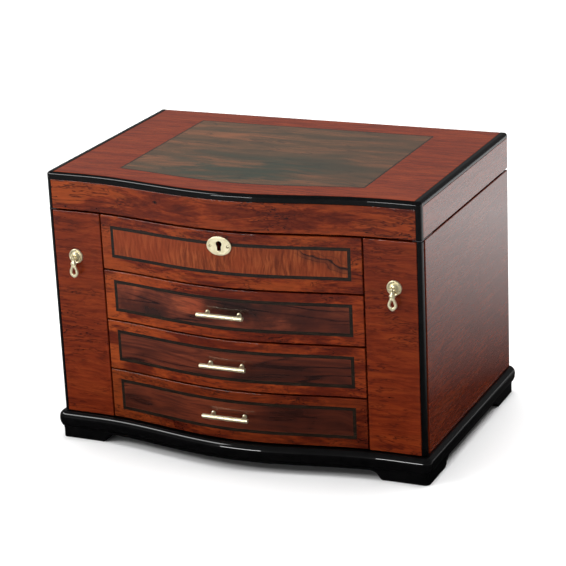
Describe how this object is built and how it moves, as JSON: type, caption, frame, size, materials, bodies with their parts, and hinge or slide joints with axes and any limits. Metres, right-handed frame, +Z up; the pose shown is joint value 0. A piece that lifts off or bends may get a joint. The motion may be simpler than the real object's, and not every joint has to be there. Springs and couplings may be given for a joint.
{
  "type": "jewelry armoire",
  "caption": "Tabletop jewelry chest with a serpentine front: hinged lid over a lined tray, lock panel, drawers with bar pulls, and a narrow hinged door with drop pull on each side.",
  "frame": {"origin": "bottom centre of the bounding box, on the surface the feet stand on", "axes": "+X to the object's right as seen from the front, +Y to the back, +Z up"},
  "size_m": [0.4124, 0.294, 0.2863],
  "materials": {
    "bubinga": "high-gloss lacquered red-brown veneer with fine dark streaks",
    "burl": "high-gloss lacquered dark burl veneer inside black stringing",
    "ebonised_wood": "high-gloss black lacquer",
    "carcase_wood": "satin stained wood",
    "brass": "polished pale brass",
    "steel": "blackened steel",
    "lining": "matt champagne suede-like lining",
    "mirror": "silvered glass"
  },
  "bodies": {
    "carcase": {"base_plinth": "ebonised_wood", "foot_front_left": "ebonised_wood", "foot_front_right": "ebonised_wood", "foot_rear_left": "ebonised_wood", "foot_rear_right": "ebonised_wood", "side_panel_left": "bubinga", "side_panel_right": "bubinga", "partition_left": "carcase_wood", "partition_right": "carcase_wood", "back_panel": "bubinga", "tray_floor": "carcase_wood", "drawer_shelf_lower": "carcase_wood", "drawer_shelf_upper": "carcase_wood", "lock_panel": "bubinga", "lock_panel_inlay": "burl", "tray_front_wall": "carcase_wood", "lock_case": "brass", "escutcheon": "brass", "tray_divider": "lining", "ring_roll_pad": "lining", "hinge_fixed_leaf_left": "brass", "hinge_fixed_leaf_right": "brass", "door_pivot_plate_left": "steel", "door_pivot_plate_right": "steel"},
    "lid": {"lid_edging": "ebonised_wood", "lid_top_panel": "bubinga", "lid_inlay": "burl", "lid_front_rail": "bubinga", "lid_side_rail_left": "bubinga", "lid_side_rail_right": "bubinga", "lid_back_rail": "bubinga", "lock_strike": "brass", "lid_mirror_frame": "bubinga", "lid_mirror": "mirror", "hinge_lid_leaf_left": "brass", "hinge_lid_leaf_right": "brass"},
    "lock_bolt": {"lock_bolt": "steel"},
    "door_left": {"door_panel_left": "bubinga", "door_stile_left": "ebonised_wood", "door_rosette_left": "brass", "door_hook_rail_left": "brass"},
    "drop_left": {"door_drop_left": "brass"},
    "door_right": {"door_panel_right": "bubinga", "door_stile_right": "ebonised_wood", "door_rosette_right": "brass", "door_hook_rail_right": "brass"},
    "drop_right": {"door_drop_right": "brass"},
    "drawer_lower": {"drawer_front_lower": "bubinga", "drawer_inlay_lower": "burl", "drawer_box_lower": "carcase_wood", "drawer_pull_lower": "brass"},
    "drawer_middle": {"drawer_front_middle": "bubinga", "drawer_inlay_middle": "burl", "drawer_box_middle": "carcase_wood", "drawer_pull_middle": "brass"},
    "drawer_upper": {"drawer_front_upper": "bubinga", "drawer_inlay_upper": "burl", "drawer_box_upper": "carcase_wood", "drawer_pull_upper": "brass"}
  },
  "joints": [
    {"name": "lid_hinge", "type": "hinge", "parent": "carcase", "child": "lid", "pos_m": [0, 0.14353, 0.24765], "axis": [-1, 0, 0], "range_deg": [0, 95]},
    {"name": "lock_bolt_slide", "type": "slide", "parent": "carcase", "child": "lock_bolt", "axis": [0, 0, 1], "range_m": [0, 0.006]},
    {"name": "door_left_hinge", "type": "hinge", "parent": "carcase", "child": "door_left", "pos_m": [-0.19525, -0.11052, 0.03], "axis": [0, 0, -1], "range_deg": [0, 100]},
    {"name": "door_right_hinge", "type": "hinge", "parent": "carcase", "child": "door_right", "pos_m": [0.19525, -0.11052, 0.03], "axis": [0, 0, 1], "range_deg": [0, 100]},
    {"name": "drop_left_swing", "type": "hinge", "parent": "door_left", "child": "drop_left", "pos_m": [-0.1717, -0.12177, 0.1998], "axis": [-1, 0, 0], "range_deg": [0, 85]},
    {"name": "drop_right_swing", "type": "hinge", "parent": "door_right", "child": "drop_right", "pos_m": [0.1717, -0.12177, 0.1998], "axis": [-1, 0, 0], "range_deg": [0, 85]},
    {"name": "drawer_lower_slide", "type": "slide", "parent": "carcase", "child": "drawer_lower", "axis": [0, -1, 0], "range_m": [0, 0.15]},
    {"name": "drawer_middle_slide", "type": "slide", "parent": "carcase", "child": "drawer_middle", "axis": [0, -1, 0], "range_m": [0, 0.15]},
    {"name": "drawer_upper_slide", "type": "slide", "parent": "carcase", "child": "drawer_upper", "axis": [0, -1, 0], "range_m": [0, 0.15]}
  ]
}
